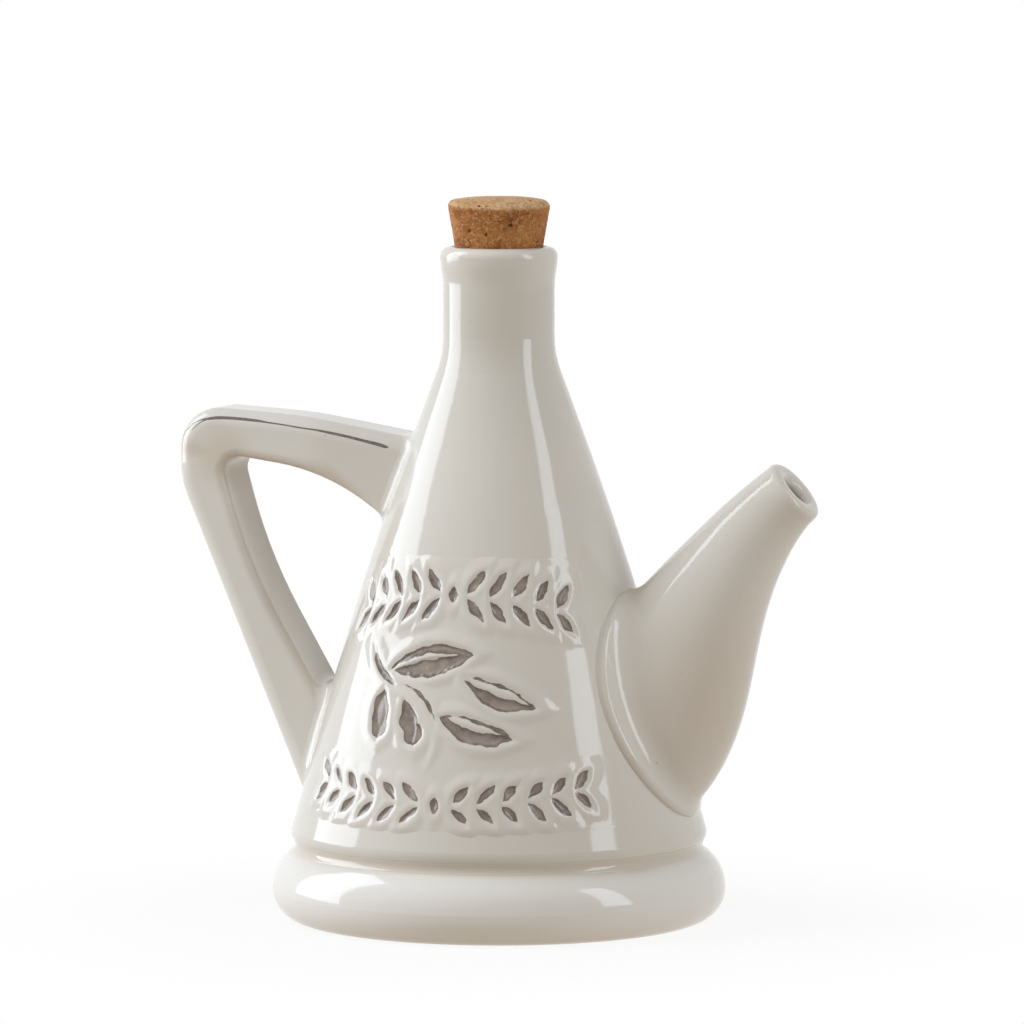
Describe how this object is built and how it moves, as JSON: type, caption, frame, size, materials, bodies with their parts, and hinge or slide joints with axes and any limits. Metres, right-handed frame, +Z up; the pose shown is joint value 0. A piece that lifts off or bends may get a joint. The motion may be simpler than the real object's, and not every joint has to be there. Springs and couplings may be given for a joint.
{
  "type": "olive oil pourer",
  "caption": "Glazed ceramic oil pourer with a hollow conical body, a strap handle, a horn-shaped spout and a tapered cork stopper that lifts out.",
  "frame": {"origin": "centre of the foot, on the plane the pourer stands on", "axes": "+X towards the spout, -X towards the handle, -Y towards the decorated front, +Z up along the body's axis"},
  "size_m": [0.1687, 0.116, 0.1848],
  "materials": {
    "glaze": "gloss",
    "cork": "matte"
  },
  "bodies": {
    "pourer": {"ceramic_body": "glaze"},
    "stopper": {"cork_stopper": "cork"}
  },
  "joints": [
    {"name": "stopper_pull", "type": "slide", "parent": "pourer", "child": "stopper", "axis": [0, 0, 1], "range_m": [0, 0.03]}
  ]
}
